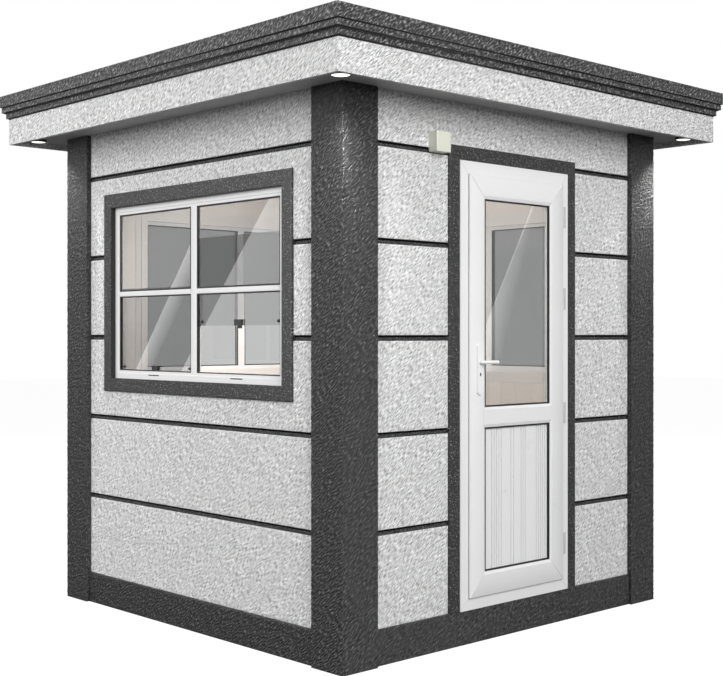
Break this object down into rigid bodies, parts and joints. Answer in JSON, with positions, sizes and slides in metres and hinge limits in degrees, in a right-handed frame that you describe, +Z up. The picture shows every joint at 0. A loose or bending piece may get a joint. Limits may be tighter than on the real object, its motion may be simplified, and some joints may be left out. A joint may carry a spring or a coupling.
{
  "type": "security guard booth",
  "caption": "Square flat-roofed guard booth with grooved white walls, charcoal corner posts and cornice, a half-glazed door that opens and a lifting service window.",
  "frame": {"origin": "middle of the booth's footprint, on the ground", "axes": "+Z up, the door side faces -Y and the service window faces -X"},
  "size_m": [2.652, 2.652, 2.601],
  "materials": {
    "white_coat": "trowelled white texture coat",
    "dark_coat": "charcoal texture coat, semi-gloss",
    "groove": "dark backing seen in the grooves",
    "white_frame": "satin white extruded frame",
    "glass": "light grey glazing",
    "lining": "warm off-white boards",
    "floor": "laminate floor",
    "steel": "dark painted steel",
    "soffit_white": "smooth matt white sheet",
    "hinge_grey": "light grey paint",
    "handle_white": "gloss white paint",
    "grip_black": "black moulding",
    "lamp": "glowing diffuser",
    "box_cream": "cream moulding",
    "roofing": "dark roofing sheet",
    "roof_core": "insulated panel"
  },
  "bodies": {
    "booth": {"floor_panel": "floor", "floor_bearers": "steel", "plinths": "dark_coat", "corner_posts": "dark_coat", "front_wall_left": "groove", "front_wall_right": "groove", "front_wall_over_door": "groove", "left_wall": "groove", "back_wall": "groove", "right_wall": "groove", "front_wall_boards": "white_coat", "left_wall_boards": "white_coat", "back_wall_boards": "white_coat", "right_wall_boards": "white_coat", "front_wall_lining": "lining", "left_wall_lining": "lining", "back_wall_lining": "lining", "right_wall_lining": "lining", "ceiling_lining": "lining", "window_trims": "dark_coat", "window_casings": "white_frame", "door_trim": "dark_coat", "fixed_window_frames": "white_frame", "fixed_window_glass": "glass", "service_window_frame": "white_frame", "service_window_glass": "glass", "service_window_guides": "white_frame", "service_window_lifting_panes": "glass", "service_window_grips": "grip_black", "door_frame": "white_frame", "door_hinges_frame_side": "hinge_grey", "soffit": "soffit_white", "soffit_downlights": "lamp", "roof_panel": "roof_core", "fascia": "white_coat", "cornice": "dark_coat", "roof_cover": "roofing", "junction_box": "box_cream"},
    "door": {"door_leaf": "white_frame", "door_glass": "glass", "door_panel": "white_frame", "door_hinges_leaf_side": "hinge_grey", "door_handle_plates": "handle_white"},
    "lever": {"door_lever": "handle_white"}
  },
  "joints": [
    {"name": "door_hinge", "type": "hinge", "parent": "booth", "child": "door", "pos_m": [0.334, -1.073, 1.1365], "axis": [0, 0, 1], "range_deg": [0, 110]},
    {"name": "lever_turn", "type": "hinge", "parent": "door", "child": "lever", "pos_m": [-0.27, -1.056, 1.24], "axis": [0, 1, 0], "range_deg": [0, 40], "stiffness_Nm_per_rad": 2, "springref_deg": -17.19}
  ]
}
